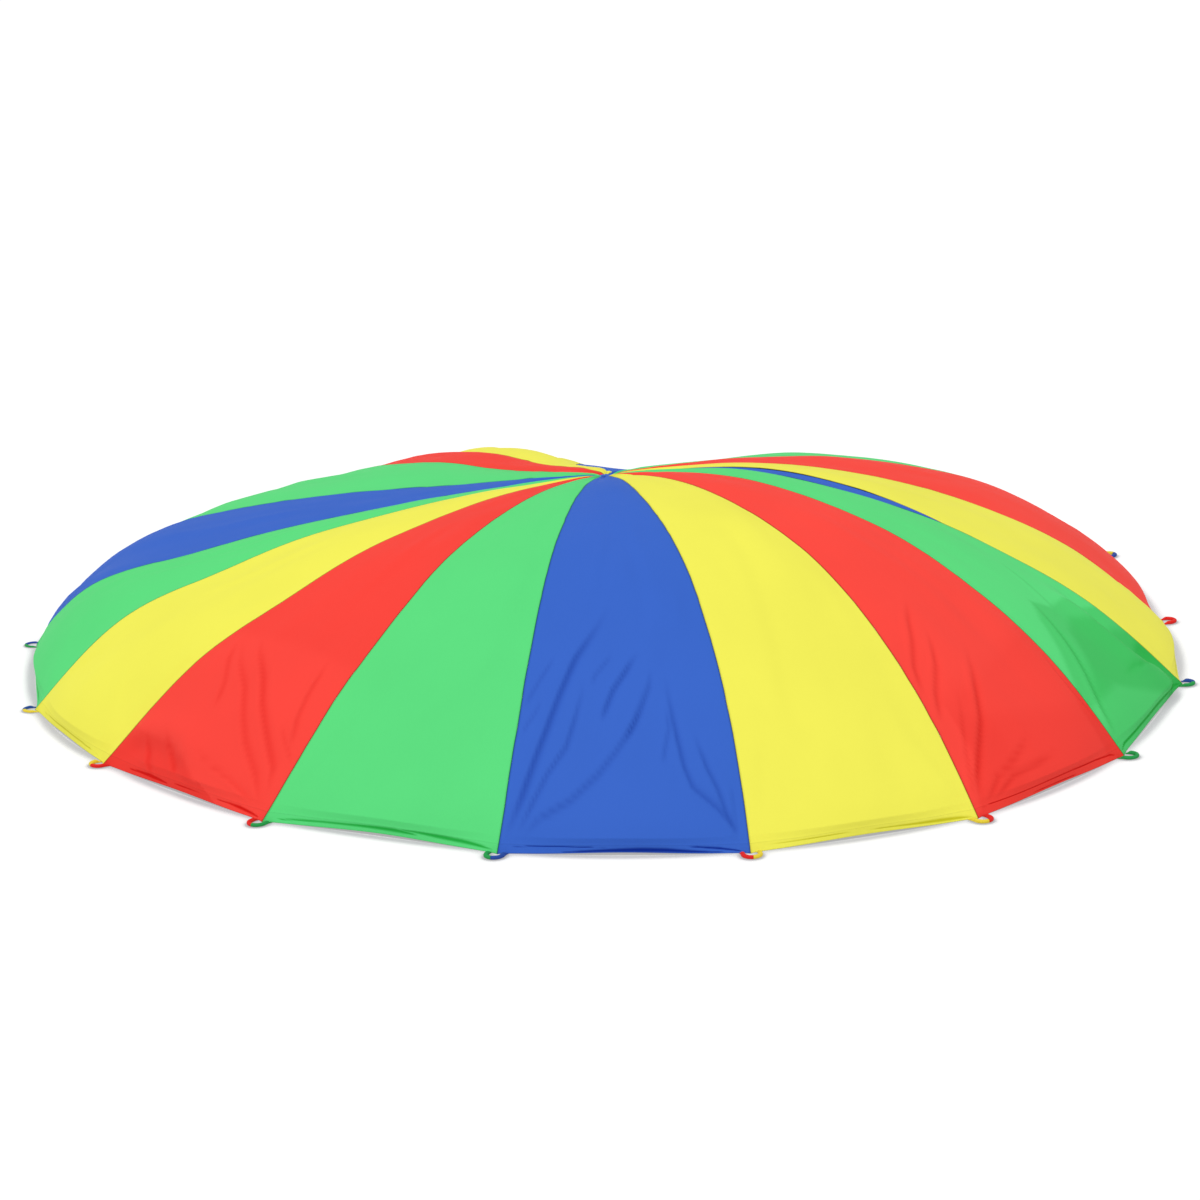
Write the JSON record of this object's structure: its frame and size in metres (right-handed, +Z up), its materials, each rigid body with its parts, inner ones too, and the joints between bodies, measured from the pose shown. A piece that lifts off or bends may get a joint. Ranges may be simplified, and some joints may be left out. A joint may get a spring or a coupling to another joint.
{
  "type": "play parachute",
  "caption": "Round play parachute of coloured nylon gores, resting inflated as a low dome, with a crown patch and hinged two-colour hand loops round its hem.",
  "frame": {"origin": "on the floor under the middle of the resting canopy, where the sewn hem corners and the hand loops lie", "axes": "+Z is up; -Y is the front, the blue gore that faces the camera; +X is to that camera's right"},
  "size_m": [4.4032, 4.4145, 0.7963],
  "materials": {
    "nylon_blue": "plain-woven nylon taffeta, satin",
    "nylon_green": "plain-woven nylon taffeta, satin",
    "nylon_red": "plain-woven nylon taffeta, satin",
    "nylon_yellow": "plain-woven nylon taffeta, satin"
  },
  "bodies": {
    "canopy": {"gore_00": "nylon_blue", "gore_01": "nylon_yellow", "gore_02": "nylon_red", "gore_03": "nylon_green", "gore_04": "nylon_yellow", "gore_05": "nylon_red", "gore_06": "nylon_green", "gore_07": "nylon_blue", "gore_08": "nylon_yellow", "gore_09": "nylon_red", "gore_10": "nylon_green", "gore_11": "nylon_blue", "gore_12": "nylon_green", "gore_13": "nylon_yellow", "gore_14": "nylon_red", "gore_15": "nylon_green", "gusset": "nylon_blue"},
    "crown": {"crown_patch_top": "nylon_blue", "crown_patch_under": "nylon_blue"},
    "loop_00": {"loop_00_a": "nylon_red", "loop_00_b": "nylon_yellow"},
    "loop_01": {"loop_01_a": "nylon_yellow", "loop_01_b": "nylon_red"},
    "loop_02": {"loop_02_a": "nylon_green", "loop_02_b": "nylon_green"},
    "loop_03": {"loop_03_a": "nylon_green", "loop_03_b": "nylon_blue"},
    "loop_04": {"loop_04_a": "nylon_red", "loop_04_b": "nylon_red"},
    "loop_05": {"loop_05_a": "nylon_blue", "loop_05_b": "nylon_yellow"},
    "loop_06": {"loop_06_a": "nylon_yellow", "loop_06_b": "nylon_red"},
    "loop_07": {"loop_07_a": "nylon_red", "loop_07_b": "nylon_green"},
    "loop_08": {"loop_08_a": "nylon_green", "loop_08_b": "nylon_blue"},
    "loop_09": {"loop_09_a": "nylon_blue", "loop_09_b": "nylon_yellow"},
    "loop_10": {"loop_10_a": "nylon_yellow", "loop_10_b": "nylon_red"},
    "loop_11": {"loop_11_a": "nylon_blue", "loop_11_b": "nylon_green"},
    "loop_12": {"loop_12_a": "nylon_blue", "loop_12_b": "nylon_yellow"},
    "loop_13": {"loop_13_a": "nylon_yellow", "loop_13_b": "nylon_red"},
    "loop_14": {"loop_14_a": "nylon_red", "loop_14_b": "nylon_green"},
    "loop_15": {"loop_15_a": "nylon_green", "loop_15_b": "nylon_blue"}
  },
  "joints": [
    {"name": "crown_drop", "type": "slide", "parent": "canopy", "child": "crown", "axis": [0, 0, 1], "range_m": [-0.68, 0], "deforming": ["gore_00", "gore_01", "gore_02", "gore_03", "gore_04", "gore_05", "gore_06", "gore_07", "gore_08", "gore_09", "gore_10", "gore_11", "gore_12", "gore_13", "gore_14", "gore_15", "gusset"]},
    {"name": "loop_00_hinge", "type": "hinge", "parent": "canopy", "child": "loop_00", "pos_m": [0.48459, -2.14652, 0.001], "axis": [-0.9909, -0.1349, 0], "range_deg": [-90, 90]},
    {"name": "loop_01_hinge", "type": "hinge", "parent": "canopy", "child": "loop_01", "pos_m": [1.23979, -1.88769, 0.001], "axis": [-0.8463, -0.5327, 0], "range_deg": [-90, 90]},
    {"name": "loop_02_hinge", "type": "hinge", "parent": "canopy", "child": "loop_02", "pos_m": [1.792, -1.30558, 0.001], "axis": [-0.5228, -0.8524, 0], "range_deg": [-90, 90]},
    {"name": "loop_03_hinge", "type": "hinge", "parent": "canopy", "child": "loop_03", "pos_m": [2.10248, -0.52066, 0.001], "axis": [-0.2194, -0.9756, 0], "range_deg": [-90, 90]},
    {"name": "loop_04_hinge", "type": "hinge", "parent": "canopy", "child": "loop_04", "pos_m": [2.14201, 0.25624, 0.001], "axis": [0.0393, -0.9992, 0], "range_deg": [-90, 90]},
    {"name": "loop_05_hinge", "type": "hinge", "parent": "canopy", "child": "loop_05", "pos_m": [2.02168, 1.18157, 0.001], "axis": [0.4854, -0.8743, 0], "range_deg": [-90, 90]},
    {"name": "loop_06_hinge", "type": "hinge", "parent": "canopy", "child": "loop_06", "pos_m": [1.378, 1.75588, 0.001], "axis": [0.8334, -0.5527, 0], "range_deg": [-90, 90]},
    {"name": "loop_07_hinge", "type": "hinge", "parent": "canopy", "child": "loop_07", "pos_m": [0.60777, 2.11561, 0.001], "axis": [0.9719, -0.2355, 0], "range_deg": [-90, 90]},
    {"name": "loop_08_hinge", "type": "hinge", "parent": "canopy", "child": "loop_08", "pos_m": [-0.24072, 2.14595, 0.001], "axis": [0.9869, 0.1613, 0], "range_deg": [-90, 90]},
    {"name": "loop_09_hinge", "type": "hinge", "parent": "canopy", "child": "loop_09", "pos_m": [-1.02665, 1.85553, 0.001], "axis": [0.8915, 0.453, 0], "range_deg": [-90, 90]},
    {"name": "loop_10_hinge", "type": "hinge", "parent": "canopy", "child": "loop_10", "pos_m": [-1.76424, 1.35374, 0.001], "axis": [0.6751, 0.7377, 0], "range_deg": [-90, 90]},
    {"name": "loop_11_hinge", "type": "hinge", "parent": "canopy", "child": "loop_11", "pos_m": [-2.14015, 0.48377, 0.001], "axis": [0.0819, 0.9966, 0], "range_deg": [-90, 90]},
    {"name": "loop_12_hinge", "type": "hinge", "parent": "canopy", "child": "loop_12", "pos_m": [-2.04334, -0.3398, 0.001], "axis": [-0.2485, 0.9686, 0], "range_deg": [-90, 90]},
    {"name": "loop_13_hinge", "type": "hinge", "parent": "canopy", "child": "loop_13", "pos_m": [-1.72392, -0.997, 0.001], "axis": [-0.5464, 0.8375, 0], "range_deg": [-90, 90]},
    {"name": "loop_14_hinge", "type": "hinge", "parent": "canopy", "child": "loop_14", "pos_m": [-1.12017, -1.66671, 0.001], "axis": [-0.8247, 0.5656, 0], "range_deg": [-90, 90]},
    {"name": "loop_15_hinge", "type": "hinge", "parent": "canopy", "child": "loop_15", "pos_m": [-0.33048, -2.06599, 0.001], "axis": [-0.9478, 0.3188, 0], "range_deg": [-90, 90]}
  ]
}
